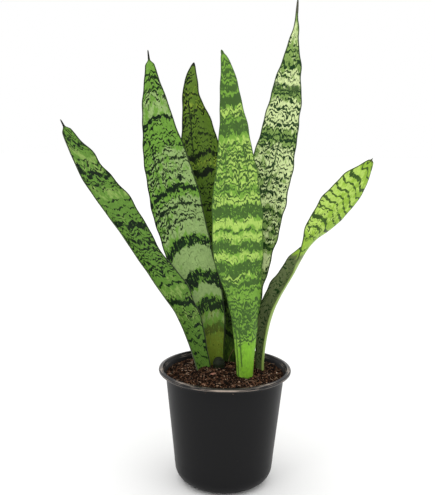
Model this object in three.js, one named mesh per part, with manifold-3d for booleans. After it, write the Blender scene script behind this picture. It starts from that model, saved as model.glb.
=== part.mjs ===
// A potted snake plant: six upright leaves growing from one rhizome, in potting mix,
// in a round black nursery pot with a rolled rim.
//
// Millimetres, +Z up. The origin is the centre of the pot's flat underside. -Y is the front.

import * as THREE from 'three';
import { ParametricGeometry } from 'three/addons/geometries/ParametricGeometry.js';
import { mergeVertices } from 'three/addons/utils/BufferGeometryUtils.js';
import Module from 'manifold-3d';

const wasm = await Module();
wasm.setup();

// ---------------------------------------------------------------- driving dimensions

// Pot
const POT_HEIGHT = 134;
const RIM_RADIUS = 75; // outside of the rolled rim
const BEAD_RADIUS = 2.2; // section of the rolled rim
const LIP_REACH = 8.1; // from the outside of the wall to the outside of the rim
const FLARE_HEIGHT = 10; // from the top of the straight wall to the top of the rim
const FOOT_RADIUS = 56 * (RIM_RADIUS / 75); // outside of the wall where the lower corner starts
const CORNER_RADIUS = 19.5; // rounding between the wall and the flat underside
const WALL = 1.4;
const BASE_THICKNESS = 1.6;
const DRAIN_HOLES = 8;
const DRAIN_HOLE_RADIUS = 4.5;
const DRAIN_RING_INSET = 13; // from the foot radius in to the ring of drain holes

// Potting mix
const HEADSPACE = 8; // from the top of the rim down to the mix at the wall
const MIX_CROWN = 2; // how much higher the mix stands in the middle

// Leaves
const TALLEST_TIP = 419; // height of the tallest tip above the mix at the wall
const ROOTING_DEPTH = 22; // from the mix at the wall down to the foot of each leaf
const LEAF_THICKNESS = 2.6; // middle of the blade
const LEAF_FOOT_THICKNESS = 4.6;
const LEAF_MARGIN_THICKNESS = 0.9;
const LEAF_TIP_THICKNESS = 1;
const FOOT_SHARE = 0.3; // part of the length over which the foot thins to the blade
const TIP_SHARE = 0.2; // part of the length over which the blade thins to the tip
const LEVEL_SHARE = 0.06; // part of the length that stands upright, so the foot is level

// Old leaf stub
const STUB_WIDTH = 13;
const STUB_DEPTH = 8;
const STUB_HEIGHT = 14; // above the mix at the wall

// Rhizome and roots
const RHIZOME_RADIUS = 7;
const RHIZOME_DROP = 14; // from the leaf seats down to the middle of the rhizome
const SEAT_RADIUS = 10.5; // flat top that one leaf stands on
const ROOTS = 7;
const ROOT_RADIUS = 1.6;
const ROOT_WALL_GAP = 12; // from the inside of the pot back to a root's end
const ROOT_END_STEP = 12; // each third root ends this much higher than the one before

// Bark chips: half sizes of the largest chip
const CHIP_HALF_LENGTH = 5;
const CHIP_HALF_WIDTH = 3.2;
const CHIP_HALF_THICKNESS = 1.3;
const CHIP_SUNK_SHARE = 0.6; // part of a chip's thickness that is pressed into the mix

const FIT_GAP = 0.3; // clearance between neighbouring pieces

// ---------------------------------------------------------------- fineness of the facets

const POT_SEGMENTS = 40;
const CORNER_STEPS = 5;
const FLARE_STEPS = 3;
const BEAD_STEPS = 7;
const DRAIN_SEGMENTS = 10;
const MIX_RINGS = 3;
const LEAF_ROWS = 24;
const LEAF_COLUMNS = 6; // facets across each face of a leaf
const STUB_STEPS = 4;
const TUBE_SEGMENTS = 8;
const CAPSULE_STEPS = 2;
const ROOT_SIDES = 6;
const ROOT_STEPS = 4;
const WELD = 1e-4; // corners this near each other are one corner

// ---------------------------------------------------------------- levels that follow

const MIX_LEVEL = POT_HEIGHT - HEADSPACE;
const SEAT_LEVEL = MIX_LEVEL - ROOTING_DEPTH;
const RHIZOME_LEVEL = SEAT_LEVEL - RHIZOME_DROP;
const WALL_TOP = POT_HEIGHT - FLARE_HEIGHT;
const WALL_TOP_RADIUS = RIM_RADIUS - LIP_REACH;
const RIM_INNER_RADIUS = RIM_RADIUS - 2 * BEAD_RADIUS;

// The leaves are narrower and stand closer together in a smaller pot.
const SPREAD = RIM_RADIUS / 75;

// ---------------------------------------------------------------- leaves

// Each row is one place along a leaf, from its foot to its tip:
// [x, y, height above the mix, width round the curve, way the hollow face looks, cupping].
// The last two are degrees; the way is measured from +X towards +Y.
const LEAVES = {
  leaf_far_left: {
    colour: 0x6b8c4a,
    spine: [
      [-24, 14, -22, 20, -50, 130],
      [-29, 13, 10, 24, -50, 120],
      [-49, 8, 73, 35, -46, 100],
      [-79, 0, 122, 36, -44, 95],
      [-112, -6, 174, 39, -46, 90],
      [-144, -12, 224, 34, -50, 70],
      [-168, -16, 264, 15, -55, 50],
      [-178, -18, 284, 1.5, -55, 20],
    ],
  },
  leaf_left_tall: {
    colour: 0x557f3a,
    spine: [
      [-10, 28, -22, 22, -85, 130],
      [-12, 28, 20, 25, -85, 110],
      [-21, 27, 74, 41, -88, 70],
      [-43, 27, 138, 55, -92, 55],
      [-61, 29, 208, 58, -95, 50],
      [-77, 31, 276, 39, -95, 50],
      [-87, 33, 338, 13, -95, 40],
      [-90, 34, 360, 1.5, -95, 20],
    ],
  },
  leaf_back: {
    colour: 0x3f6329,
    spine: [
      [3, 42, -22, 20, -90, 130],
      [3, 42, 20, 23, -90, 120],
      [-9, 45, 84, 34, -90, 100],
      [-23, 50, 174, 46, -88, 90],
      [-34, 56, 259, 46, -80, 100],
      [-42, 59, 298, 27, -77, 108],
      [-44, 61, 324, 19, -75, 110],
      [-40, 66, 349, 2, -75, 60],
    ],
  },
  leaf_front: {
    colour: 0x6f9c40,
    spine: [
      [22, -16, -22, 22, 95, 150],
      [23, -17, 20, 27, 95, 150],
      [21, -16, 88, 42, 95, 110],
      [14, -14, 136, 57, 95, 70],
      [11, -12, 194, 56, 95, 55],
      [7, -9, 262, 36, 95, 50],
      [-2, -5, 334, 15, 95, 40],
      [-9, -3, 359, 1.5, 95, 20],
    ],
  },
  leaf_right_tall: {
    colour: 0x8fae66,
    spine: [
      [24, 24, -22, 18, -95, 130],
      [25, 25, 20, 22, -95, 120],
      [26, 29, 88, 34, -95, 70],
      [39, 36, 180, 52, -95, 50],
      [58, 42, 266, 44, -98, 45],
      [67, 48, 326, 31, -100, 45],
      [74, 53, 384, 7, -100, 40],
      [76, 56, 419, 1.5, -100, 20],
    ],
  },
  leaf_right_twisted: {
    colour: 0x86a83a,
    spine: [
      [43, 12, -22, 14, 215, 130],
      [43, 12, 20, 17, 210, 140],
      [52, 9, 74, 28, 205, 130],
      [78, 4, 126, 32, 190, 100],
      [109, 0, 176, 40, 124, 60],
      [135, -4, 214, 37, 116, 50],
      [151, -6, 238, 14, 115, 40],
      [156, -6, 247, 1.5, 115, 20],
    ],
  },
};

const DRAWN_TIP = Math.max(...Object.values(LEAVES).map(({ spine }) => spine.at(-1)[2]));
const STRETCH = TALLEST_TIP / DRAWN_TIP;

// The stub stands in front of the tall left leaf.
const STUB_PLACE = [-7 * SPREAD, 14 * SPREAD];

// Bark chips in the top of the mix: [x, y, turn in degrees, size against the largest].
const CHIPS = [
  [-13, -7, 20, 1],
  [7, 21, -50, 0.7],
  [-23, -39, 65, 0.8],
  [11, -45, -30, 0.75],
  [-53, -4, 80, 0.7],
  [50, 20, 35, 0.65],
];

// ---------------------------------------------------------------- solids and meshes

// A closed solid from any closed three.js geometry: corners that share a place are welded,
// and triangles that the weld closes to a line are dropped.
function solidOf(geometry) {
  const bare = geometry.clone();
  bare.deleteAttribute('normal');
  bare.deleteAttribute('uv');
  const welded = mergeVertices(bare, WELD);
  const corners = welded.index.array;
  const kept = [];
  for (let i = 0; i < corners.length; i += 3) {
    const [a, b, c] = corners.slice(i, i + 3);
    if (a !== b && b !== c && c !== a) kept.push(a, b, c);
  }
  const vertProperties = Float32Array.from(welded.attributes.position.array);
  const triVerts = Uint32Array.from(kept);
  return new wasm.Manifold(new wasm.Mesh({ numProp: 3, vertProperties, triVerts }));
}

function geometryOf(solid) {
  const mesh = solid.getMesh();
  const geometry = new THREE.BufferGeometry();
  geometry.setAttribute('position', new THREE.BufferAttribute(mesh.vertProperties, 3));
  geometry.setIndex(new THREE.BufferAttribute(mesh.triVerts, 1));
  geometry.computeVertexNormals();
  return geometry;
}

function joined(solids) {
  return solids.reduce((whole, solid) => whole.add(solid));
}

// A closed ring or disc turned about +Z, from an outline of [radius, height] points.
function turned(outline, segments) {
  const points = outline.map(([radius, height]) => new THREE.Vector2(radius, height));
  const geometry = new THREE.LatheGeometry(points, segments);
  geometry.rotateX(Math.PI / 2);
  return geometry;
}

// Points on an arc, from one angle to another, in degrees.
function arc(centreRadius, centreHeight, radius, from, to, steps) {
  const points = [];
  for (let i = 0; i <= steps; i += 1) {
    const angle = THREE.MathUtils.degToRad(from + ((to - from) * i) / steps);
    const across = centreRadius + radius * Math.cos(angle);
    points.push([across, centreHeight + radius * Math.sin(angle)]);
  }
  return points;
}

// ---------------------------------------------------------------- pot

const CORNER_CENTRE_RADIUS = FOOT_RADIUS - CORNER_RADIUS;
const WALL_SLOPE = (WALL_TOP_RADIUS - FOOT_RADIUS) / (WALL_TOP - CORNER_RADIUS);
const INNER_CORNER_RADIUS = CORNER_RADIUS - BASE_THICKNESS;

// Inner radius of the pot at a height on its straight wall.
function innerRadiusAt(height) {
  return FOOT_RADIUS - WALL + (height - CORNER_RADIUS) * WALL_SLOPE;
}

// Inner radius anywhere between the straight wall and the top of the rim.
function flaredRadiusAt(height) {
  const up = THREE.MathUtils.clamp((height - WALL_TOP) / FLARE_HEIGHT, 0, 1);
  const start = innerRadiusAt(Math.min(height, WALL_TOP));
  return start + (RIM_INNER_RADIUS - innerRadiusAt(WALL_TOP)) * Math.sin((up * Math.PI) / 2);
}

function potOutline() {
  const beadCentre = RIM_RADIUS - BEAD_RADIUS;
  const beadLevel = POT_HEIGHT - BEAD_RADIUS;
  const outside = [];
  const inside = [];
  for (let i = 0; i <= FLARE_STEPS; i += 1) {
    const outer = WALL_TOP + ((FLARE_HEIGHT - 2 * BEAD_RADIUS) * i) / FLARE_STEPS;
    const inner = WALL_TOP + ((FLARE_HEIGHT - BEAD_RADIUS) * i) / FLARE_STEPS;
    outside.push([flaredRadiusAt(outer) + WALL, outer]);
    inside.unshift([flaredRadiusAt(inner), inner]);
  }
  return [
    [0, 0],
    ...arc(CORNER_CENTRE_RADIUS, CORNER_RADIUS, CORNER_RADIUS, -90, 0, CORNER_STEPS),
    ...outside,
    ...arc(beadCentre, beadLevel, BEAD_RADIUS, -100, 150, BEAD_STEPS),
    ...inside,
    ...arc(CORNER_CENTRE_RADIUS, CORNER_RADIUS, INNER_CORNER_RADIUS, 0, -90, CORNER_STEPS),
    [0, BASE_THICKNESS],
  ];
}

function makePot() {
  let pot = solidOf(turned(potOutline(), POT_SEGMENTS));
  const ringRadius = FOOT_RADIUS - DRAIN_RING_INSET;
  const cutHeight = 2 * CORNER_RADIUS;
  for (let i = 0; i < DRAIN_HOLES; i += 1) {
    const angle = ((i + 0.5) * 2 * Math.PI) / DRAIN_HOLES;
    const hole = new THREE.CylinderGeometry(
      DRAIN_HOLE_RADIUS, DRAIN_HOLE_RADIUS, cutHeight, DRAIN_SEGMENTS);
    hole.rotateX(Math.PI / 2);
    hole.translate(ringRadius * Math.cos(angle), ringRadius * Math.sin(angle), 0);
    pot = pot.subtract(solidOf(hole));
  }
  return pot;
}

// ---------------------------------------------------------------- leaves

// The blade is thickest at its foot, even along its middle and thin at its tip.
function bladeThickness(along) {
  const foot = THREE.MathUtils.smoothstep(along, 0, FOOT_SHARE);
  const tip = THREE.MathUtils.smoothstep(along, 1 - TIP_SHARE, 1);
  const thickness = THREE.MathUtils.lerp(LEAF_FOOT_THICKNESS, LEAF_THICKNESS, foot);
  return THREE.MathUtils.lerp(thickness, LEAF_TIP_THICKNESS, tip);
}

// A blade lofted along its spine. Its section is an arc, thick in the middle and thin at
// both margins, whose hollow side looks the way that the spine's rows give. The foot is
// level. `grow` swells it on every side, which makes the pocket that it stands in.
function bladeGeometry(rows, grow) {
  const places = rows.map(([x, y, height]) => {
    const level = height < 0 ? SEAT_LEVEL : MIX_LEVEL + height * STRETCH;
    return new THREE.Vector3(x * SPREAD, y * SPREAD, level);
  });
  const shapes = rows.map(
    ([, , , width, way, cup]) => new THREE.Vector3(width * SPREAD, way, cup));
  const spine = new THREE.CatmullRomCurve3(places, false, 'catmullrom', 0.5);
  const shape = new THREE.CatmullRomCurve3(shapes, false, 'catmullrom', 0.5);
  const up = new THREE.Vector3(0, 0, 1);
  const sides = 2 * LEAF_COLUMNS + 2;

  const surface = (u, v, target) => {
    const row = Math.round(v * (LEAF_ROWS + 2)) - 1;
    const along = THREE.MathUtils.clamp(row / LEAF_ROWS, 0, 1);
    const place = spine.getPoint(along);
    const upright = 1 - THREE.MathUtils.smoothstep(along, 0, LEVEL_SHARE);
    const tangent = spine.getTangent(along).lerp(up, upright).normalize();
    const [width, way, cup] = shape.getPoint(along).toArray();
    const wayAngle = THREE.MathUtils.degToRad(way);
    const hollow = new THREE.Vector3(Math.cos(wayAngle), Math.sin(wayAngle), 0);
    hollow.addScaledVector(tangent, -hollow.dot(tangent)).normalize();
    const side = new THREE.Vector3().crossVectors(tangent, hollow);
    if (row <= 0) place.z -= grow;
    const capCentre = row < 0 || row > LEAF_ROWS;
    if (capCentre) {
      target.copy(place);
      return;
    }

    const cupAngle = THREE.MathUtils.degToRad(cup);
    const bend = width / cupAngle;
    const middle = Math.max(Math.min(bladeThickness(along), width), LEAF_MARGIN_THICKNESS);
    const step = Math.round(u * sides) % sides;
    const back = step > LEAF_COLUMNS;
    const column = back ? sides - 1 - step : step;
    const across = column / LEAF_COLUMNS - 0.5;
    const angle = across * (cupAngle + (2 * grow) / bend);
    const lens = 1 - 4 * across * across;
    const half = THREE.MathUtils.lerp(LEAF_MARGIN_THICKNESS, middle, lens) / 2 + grow;
    const depth = back ? bend + half : bend - half;
    target.copy(place);
    target.addScaledVector(side, depth * Math.sin(angle));
    target.addScaledVector(hollow, bend - depth * Math.cos(angle));
  };
  return new ParametricGeometry(surface, sides, LEAF_ROWS + 2);
}

// ---------------------------------------------------------------- old leaf stub

// A rounded stump of a cut leaf, oval in plan, standing on its own seat.
function stubGeometry(grow) {
  const half = STUB_WIDTH / 2;
  const height = STUB_HEIGHT + ROOTING_DEPTH;
  const dome = arc(0, height - half, half, 0, 90, STUB_STEPS);
  const outline = [[0, -grow], [half, -grow], ...dome];
  const geometry = turned(outline, TUBE_SEGMENTS);
  const widen = (half + grow) / half;
  geometry.scale(widen, (STUB_DEPTH / STUB_WIDTH) * widen, 1 + grow / height);
  geometry.translate(...STUB_PLACE, SEAT_LEVEL);
  return geometry;
}

// ---------------------------------------------------------------- rhizome and roots

const LEAF_FEET = Object.values(LEAVES).map(({ spine }) => spine[0]);
const FEET = [...LEAF_FEET.map(([x, y]) => [x * SPREAD, y * SPREAD]), STUB_PLACE];

// Feet that one length of rhizome joins, counted in the order of FEET.
const RUNNERS = [[0, 6], [6, 1], [1, 2], [1, 4], [3, 4], [4, 5]];

// A rounded length of rhizome between two feet.
function runnerGeometry(from, to, grow) {
  const start = new THREE.Vector3(...from, RHIZOME_LEVEL);
  const end = new THREE.Vector3(...to, RHIZOME_LEVEL);
  const direction = end.clone().sub(start);
  const radius = RHIZOME_RADIUS + grow;
  const geometry = new THREE.CapsuleGeometry(
    radius, direction.length(), CAPSULE_STEPS, TUBE_SEGMENTS);
  const upright = new THREE.Vector3(0, 1, 0);
  const turn = new THREE.Quaternion().setFromUnitVectors(upright, direction.normalize());
  geometry.applyQuaternion(turn);
  const middle = start.add(end).multiplyScalar(0.5);
  geometry.translate(middle.x, middle.y, middle.z);
  return geometry;
}

// The short upright crown under one leaf, with its flat seat on top.
function crownGeometry(foot, grow) {
  const top = SEAT_LEVEL - FIT_GAP + grow;
  const bottom = RHIZOME_LEVEL - grow;
  const geometry = new THREE.CylinderGeometry(
    SEAT_RADIUS + grow, RHIZOME_RADIUS + grow, top - bottom, TUBE_SEGMENTS);
  geometry.rotateX(Math.PI / 2);
  geometry.translate(...foot, (top + bottom) / 2);
  return geometry;
}

// The way of one feeder root, from a foot out and then down towards the wall of the pot.
function rootRoute(index) {
  const [x, y] = FEET[index % FEET.length];
  const angle = ((index + 0.4) * 2 * Math.PI) / ROOTS;
  const endLevel = BASE_THICKNESS + CORNER_RADIUS + ROOT_END_STEP * (index % 3);
  const reach = innerRadiusAt(endLevel) - ROOT_WALL_GAP;
  const start = new THREE.Vector3(x, y, RHIZOME_LEVEL);
  const end = new THREE.Vector3(reach * Math.cos(angle), reach * Math.sin(angle), endLevel);
  const knee = start.clone().lerp(end, 0.6);
  knee.z = THREE.MathUtils.lerp(RHIZOME_LEVEL, endLevel, 0.35);
  return new THREE.CatmullRomCurve3([start, knee, end]);
}

// A root is a tube along its route with a rounded tip.
function makeRoot(index, grow) {
  const route = rootRoute(index);
  const radius = ROOT_RADIUS + 2 * grow;
  const corners = [];
  for (let i = 0; i < ROOT_SIDES; i += 1) {
    const turn = (i * 2 * Math.PI) / ROOT_SIDES;
    corners.push(new THREE.Vector2(radius * Math.cos(turn), radius * Math.sin(turn)));
  }
  const tube = new THREE.ExtrudeGeometry(new THREE.Shape(corners), {
    steps: ROOT_STEPS, extrudePath: route, bevelEnabled: false });
  const tip = new THREE.IcosahedronGeometry(radius, 0);
  tip.translate(...route.getPoint(1).toArray());
  return solidOf(tube).add(solidOf(tip));
}

function makeRhizome(grow) {
  const runners = RUNNERS.map(([a, b]) => solidOf(runnerGeometry(FEET[a], FEET[b], grow)));
  const crowns = FEET.map((foot) => solidOf(crownGeometry(foot, grow)));
  const roots = [];
  for (let i = 0; i < ROOTS; i += 1) roots.push(makeRoot(i, grow));
  return joined([...runners, ...crowns, ...roots]);
}

// ---------------------------------------------------------------- potting mix

// Height of the mix at a distance from the middle of the pot.
function mixHeightAt(radius) {
  const out = radius / flaredRadiusAt(MIX_LEVEL);
  return MIX_LEVEL + MIX_CROWN * (1 - out * out);
}

function makeMix() {
  const cornerRadius = INNER_CORNER_RADIUS - FIT_GAP;
  const sideTop = Math.min(WALL_TOP, MIX_LEVEL - 1);
  const top = [];
  for (let i = 0; i <= MIX_RINGS; i += 1) {
    const radius = (flaredRadiusAt(MIX_LEVEL) - FIT_GAP) * (1 - i / MIX_RINGS);
    top.push([radius, mixHeightAt(radius)]);
  }
  const outline = [
    [0, BASE_THICKNESS + FIT_GAP],
    ...arc(CORNER_CENTRE_RADIUS, CORNER_RADIUS, cornerRadius, -90, 0, CORNER_STEPS),
    [innerRadiusAt(sideTop) - FIT_GAP, sideTop],
    ...top,
  ];
  const block = solidOf(turned(outline, POT_SEGMENTS));
  const pockets = Object.values(LEAVES).map(
    ({ spine }) => solidOf(bladeGeometry(spine, FIT_GAP)));
  const hollows = CHIPS.map((chip) => solidOf(chipGeometry(chip, FIT_GAP)));
  const stubPocket = solidOf(stubGeometry(FIT_GAP));
  return block.subtract(joined([makeRhizome(FIT_GAP), stubPocket, ...pockets, ...hollows]));
}

// ---------------------------------------------------------------- bark chips

function chipGeometry([x, y, turn, size], grow) {
  const geometry = new THREE.IcosahedronGeometry(1, 0);
  const halfThickness = CHIP_HALF_THICKNESS * size;
  geometry.scale(
    CHIP_HALF_LENGTH * size + 2 * grow, CHIP_HALF_WIDTH * size + 2 * grow, halfThickness + 2 * grow);
  geometry.rotateZ(THREE.MathUtils.degToRad(turn));
  const middle = halfThickness * (1 - 2 * CHIP_SUNK_SHARE);
  const [chipX, chipY] = [x * SPREAD, y * SPREAD];
  geometry.translate(chipX, chipY, mixHeightAt(Math.hypot(chipX, chipY)) + middle);
  return geometry;
}

// ---------------------------------------------------------------- the plant

const plant = new THREE.Group();

function addPiece(name, solid, colour, roughness) {
  const material = new THREE.MeshStandardMaterial({ color: colour, roughness, metalness: 0 });
  const mesh = new THREE.Mesh(geometryOf(solid), material);
  mesh.name = name;
  plant.add(mesh);
}

addPiece('grow_pot', makePot(), 0x2b2b2c, 0.45);
addPiece('potting_mix', makeMix(), 0x2e211b, 1);
addPiece('rhizome', makeRhizome(0), 0xb98a4e, 0.7);
for (const [name, leaf] of Object.entries(LEAVES)) {
  addPiece(name, solidOf(bladeGeometry(leaf.spine, 0)), leaf.colour, 0.5);
}
addPiece('old_leaf_stub', solidOf(stubGeometry(0)), 0x1f2a12, 0.7);
CHIPS.forEach((chip, index) => {
  addPiece(`bark_chip_${index + 1}`, solidOf(chipGeometry(chip, 0)), 0x8a5f4a, 0.9);
});

export default plant;
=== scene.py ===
import math

import bmesh
import bpy
import numpy as np
from mathutils import Matrix, Vector


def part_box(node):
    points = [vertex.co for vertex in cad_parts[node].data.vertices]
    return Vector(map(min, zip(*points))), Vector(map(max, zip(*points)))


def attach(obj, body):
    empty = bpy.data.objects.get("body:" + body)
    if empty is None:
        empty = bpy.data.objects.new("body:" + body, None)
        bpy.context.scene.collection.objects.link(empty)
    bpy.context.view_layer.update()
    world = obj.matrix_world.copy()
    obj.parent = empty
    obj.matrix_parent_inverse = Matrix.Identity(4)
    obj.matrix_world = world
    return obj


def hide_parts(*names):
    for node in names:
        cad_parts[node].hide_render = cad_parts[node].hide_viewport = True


# A snake plant in a black nursery pot. Sizes are in metres unless a name ends in _MM; a leaf's
# pattern is laid out in millimetres along and across its blade.

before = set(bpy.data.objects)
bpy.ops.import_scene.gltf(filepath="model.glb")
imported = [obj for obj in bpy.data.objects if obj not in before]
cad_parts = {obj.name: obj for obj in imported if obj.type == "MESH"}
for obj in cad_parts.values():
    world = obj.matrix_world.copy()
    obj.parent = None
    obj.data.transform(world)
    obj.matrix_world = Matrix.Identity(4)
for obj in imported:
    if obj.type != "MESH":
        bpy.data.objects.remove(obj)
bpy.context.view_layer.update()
MM = 0.001
TINY = 1e-9  # keeps a division from failing where a length is nought

# ---------------------------------------------------------------- places from the frame

pot_low, pot_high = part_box("grow_pot")
mix_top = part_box("potting_mix")[1]
RIM_RADIUS = (pot_high.x - pot_low.x) / 2
POT_HEIGHT = pot_high.z - pot_low.z
MIX_CROWN = 2 * MM  # how much higher the mix stands in the middle than at the wall
MIX_LEVEL = mix_top.z - MIX_CROWN


# ---------------------------------------------------------------- materials


class Socket:
    """An output of a node. Arithmetic on it adds Math nodes to the same material."""

    def __init__(self, finish, output):
        self.finish, self.output = finish, output

    def maths(self, operation, *values):
        inputs = dict(enumerate(values))
        return self.finish.node("ShaderNodeMath", {"operation": operation}, inputs)

    def __add__(self, other):
        return self.maths("ADD", self, other)

    def __sub__(self, other):
        return self.maths("SUBTRACT", self, other)

    def __rsub__(self, other):
        return self.maths("SUBTRACT", other, self)

    def __mul__(self, other):
        return self.maths("MULTIPLY", self, other)

    def __truediv__(self, other):
        return self.maths("DIVIDE", self, other)

    __radd__ = __add__
    __rmul__ = __mul__

    def most(self, other):
        return self.maths("MAXIMUM", self, other)

    def wave(self):
        return self.maths("SINE", self)

    def rise(self, start, end, low=0.0, high=1.0):
        """A smooth step from low at start to high at end."""
        return self.finish.node(
            "ShaderNodeMapRange",
            {"interpolation_type": "SMOOTHSTEP"},
            {"Value": self, "From Min": start, "From Max": end, "To Min": low, "To Max": high},
        )


class Finish:
    """A procedural material: a Principled shader and the nodes that feed it."""

    def __init__(self, name, **uniform):
        self.material = bpy.data.materials.new(name)
        self.material.use_nodes = True
        self.tree = self.material.node_tree
        self.shader = self.tree.nodes["Principled BSDF"]
        self.show(**uniform)

    def feed(self, socket, value):
        if isinstance(value, Socket):
            self.tree.links.new(value.output, socket)
        else:
            socket.default_value = value

    def node(self, kind, settings=None, inputs=None, output=0):
        made = self.tree.nodes.new(kind)
        for key, value in (settings or {}).items():
            setattr(made, key, value)
        for key, value in (inputs or {}).items():
            self.feed(made.inputs[key], value)
        return Socket(self, made.outputs[output])

    def attribute(self, name):
        return self.node("ShaderNodeAttribute", {"attribute_name": name}, output="Fac")

    def place(self):
        """The point on the object, in metres."""
        return self.node("ShaderNodeTexCoord", output="Object")

    def point(self, x=0.0, y=0.0, z=0.0):
        return self.node("ShaderNodeCombineXYZ", inputs={"X": x, "Y": y, "Z": z})

    def noise(self, vector, scale=1.0, detail=2.0, roughness=0.5):
        """Values round 0, about -0.5 to 0.5."""
        return self.node(
            "ShaderNodeTexNoise",
            inputs={"Vector": vector, "Scale": scale, "Detail": detail, "Roughness": roughness},
            output="Fac",
        ) - 0.5

    def mix(self, amount, first, second, blend="MIX"):
        """A colour between first and second."""
        return self.node(
            "ShaderNodeMix",
            {"data_type": "RGBA", "blend_type": blend},
            {0: amount, 6: first, 7: second},
            output=2,
        )

    def bump(self, height, distance, strength=1.0):
        return self.node(
            "ShaderNodeBump",
            inputs={"Height": height, "Distance": distance, "Strength": strength},
        )

    def show(self, **values):
        """Sets or links sockets of the shader by their names, and gives the material."""
        for key, value in values.items():
            self.feed(self.shader.inputs[key.replace("_", " ")], value)
        return self.material


def paint(red, green, blue):
    """A colour given as 0 to 255 on a screen, as the shader's own numbers."""
    shares = [value / 255 for value in (red, green, blue)]
    return (*(s / 12.92 if s <= 0.04045 else ((s + 0.055) / 1.055) ** 2.4 for s in shares), 1.0)


# ---------------------------------------------------------------- meshes


def new_object(name, data):
    made = bpy.data.objects.new(name, data)
    bpy.context.scene.collection.objects.link(made)
    return made


def store(mesh, attributes):
    """Numbers on the points of a mesh, for its material to read."""
    for key, values in attributes.items():
        layer = mesh.attributes.new(key, "FLOAT", "POINT")
        layer.data.foreach_set("value", np.asarray(values, np.float32).ravel())


def mesh_object(name, points, faces):
    """An object at the origin from points in metres, with its faces turned outwards."""
    mesh = bpy.data.meshes.new(name)
    mesh.from_pydata([tuple(p) for p in points], [], faces)
    work = bmesh.new()
    work.from_mesh(mesh)
    bmesh.ops.recalc_face_normals(work, faces=work.faces)
    work.to_mesh(mesh)
    work.free()
    mesh.polygons.foreach_set("use_smooth", [True] * len(mesh.polygons))
    return new_object(name, mesh)


def add_piece(piece, material, slot, *nodes):
    """Gives a finished piece its material; slot is not used. The piece rides on the plant's one body."""
    piece.data.materials.clear()
    piece.data.materials.append(material)
    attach(piece, "root")
    if nodes:
        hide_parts(*nodes)
    return piece


def tube_faces(rings, sides):
    """Quads between rings of points that are numbered ring by ring, and a fan on each end to the
    two points that follow the rings."""
    faces = []
    for ring in range(rings - 1):
        for side in range(sides):
            a, b = ring * sides + side, ring * sides + (side + 1) % sides
            faces.append((a, b, b + sides, a + sides))
    last = (rings - 1) * sides
    low, high = rings * sides, rings * sides + 1
    faces += [(low, (s + 1) % sides, s) for s in range(sides)]
    faces += [(high, last + s, last + (s + 1) % sides) for s in range(sides)]
    return faces


def settle(piece):
    """Turns a piece with live modifiers into a plain mesh."""
    bpy.context.view_layer.update()
    graph = bpy.context.evaluated_depsgraph_get()
    mesh = bpy.data.meshes.new_from_object(piece.evaluated_get(graph))
    piece.modifiers.clear()
    piece.data = mesh
    return piece


MERGE_DISTANCE = 0.001 * MM  # points nearer than this are one


def merged_copy(node):
    """A CAD node's loose triangles joined into one closed mesh, as a bmesh."""
    work = bmesh.new()
    work.from_mesh(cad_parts[node].data)
    bmesh.ops.remove_doubles(work, verts=work.verts, dist=MERGE_DISTANCE)
    work.verts.ensure_lookup_table()
    work.verts.index_update()
    return work


def copied_piece(node):
    """A CAD node's closed mesh as an object to work on."""
    work = merged_copy(node)
    mesh = bpy.data.meshes.new("fine_" + node)
    work.to_mesh(mesh)
    work.free()
    return new_object("fine_" + node, mesh)


def spline_weights(count, samples):
    """Catmull-Rom weights: one row per sample, one column per control point."""
    places = np.linspace(0, count - 1, samples)
    weights = np.zeros((samples, count))
    for row, place in enumerate(places):
        k = min(int(place), count - 2)
        t = place - k
        blend = (
            -0.5 * t + t**2 - 0.5 * t**3,
            1 - 2.5 * t**2 + 1.5 * t**3,
            0.5 * t + 2 * t**2 - 1.5 * t**3,
            -0.5 * t**2 + 0.5 * t**3,
        )
        for offset, share in zip((-1, 0, 1, 2), blend):
            j = k + offset
            if j < 0:  # beyond an end the curve goes on with the same bend
                for step, part in ((0, 3), (1, -3), (2, 1)):
                    weights[row, step] += part * share
            elif j >= count:
                for step, part in ((1, 3), (2, -3), (3, 1)):
                    weights[row, count - step] += part * share
            else:
                weights[row, j] += share
    return weights


# ---------------------------------------------------------------- leaves

ROW_STEP_MM = 1.4
FACE_COLUMNS = 31
MARGIN_TURNS = (35, 70, 110, 145)  # degrees round a margin, from the hollow face to the back one
MARGIN_BULGE_MM = 0.3
TIP_ROUND_MM = 2.5
CALM_FOOT_MM, CALM_TIP_MM = 60, 40  # a blade's waves die out over these lengths at its ends
FRILL = 0.8  # how much of a margin's wave also goes out of the blade
SWELL_MM, SWELL_LENGTH_MM, SWELL_LEAN = 0.35, 17, 2.2
NEEDLE_POINT = 0.4  # the needle's width at its point, as a share of its width below
BLUNT = 0.03  # what is left of the last ring
LEAST_MM = 0.1  # no width is taken as less


def foot_ring(work):
    """The points round the flat foot of a CAD leaf in order, and all points of the foot."""
    foot = min(v.co.z for v in work.verts)
    level = {v for v in work.verts if v.co.z < foot + MERGE_DISTANCE}
    cap = {f for f in work.faces if level.issuperset(f.verts)}
    rim = {e for e in work.edges if sum(f in cap for f in e.link_faces) == 1}
    ring = {v for e in rim for v in e.verts}
    order = [min(ring, key=lambda v: v.index)]
    while len(order) < len(ring):
        order.append(next(
            w for e in order[-1].link_edges if e in rim for w in e.verts if w not in order))
    return order, level


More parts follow.
